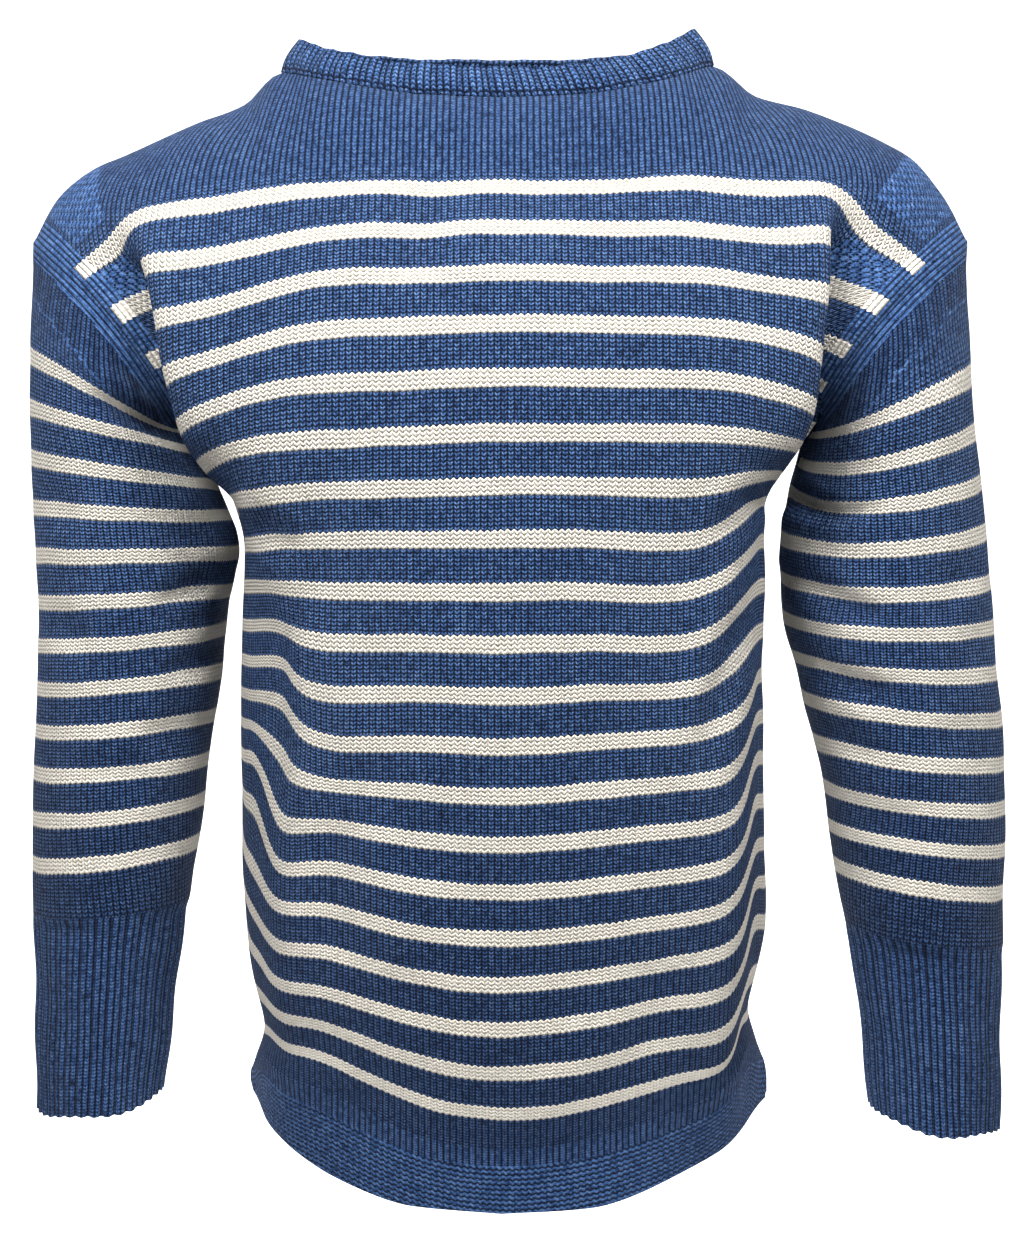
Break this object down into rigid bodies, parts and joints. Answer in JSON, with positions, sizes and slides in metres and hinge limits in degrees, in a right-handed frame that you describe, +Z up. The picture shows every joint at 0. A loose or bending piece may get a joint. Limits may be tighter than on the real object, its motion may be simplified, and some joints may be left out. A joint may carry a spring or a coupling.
{
  "type": "fisherman sweater",
  "caption": "Worn-form hollow guernsey sweater: striped knit body and sleeves, plain yoke, rib neckband and cuffs, underarm gussets and split garter welt.",
  "frame": {"origin": "where the wearer's shoulders hold the sweater: on the centre plane, level with the neck ends of the shoulder joins, midway front to back", "axes": "+Z up toward the neck, -Y out of the chest, +X toward the wearer's left"},
  "size_m": [0.5818, 0.2429, 0.67],
  "materials": {
    "body_front": "heathered blue worsted stockinette with cream stripes below a plain yoke",
    "body_back": "heathered blue worsted stockinette with cream stripes below a plain yoke",
    "neckband": "blue doubled rib",
    "welt_front": "blue garter stitch under a short rib strip",
    "welt_back": "blue garter stitch under a short rib strip",
    "sleeve_right": "blue stockinette with cream stripes",
    "sleeve_left": "blue stockinette with cream stripes",
    "cuff_right": "blue two by two rib",
    "cuff_left": "blue two by two rib",
    "neck_gusset_right": "blue stockinette",
    "neck_gusset_left": "blue stockinette",
    "underarm_gusset_right": "blue stockinette",
    "underarm_gusset_left": "blue stockinette"
  },
  "bodies": {
    "root": {"body_front": "body_front", "body_back": "body_back", "neckband": "neckband", "welt_front": "welt_front", "welt_back": "welt_back", "sleeve_right": "sleeve_right", "sleeve_left": "sleeve_left", "cuff_right": "cuff_right", "cuff_left": "cuff_left", "neck_gusset_right": "neck_gusset_right", "neck_gusset_left": "neck_gusset_left", "underarm_gusset_right": "underarm_gusset_right", "underarm_gusset_left": "underarm_gusset_left"}
  },
  "joints": []
}
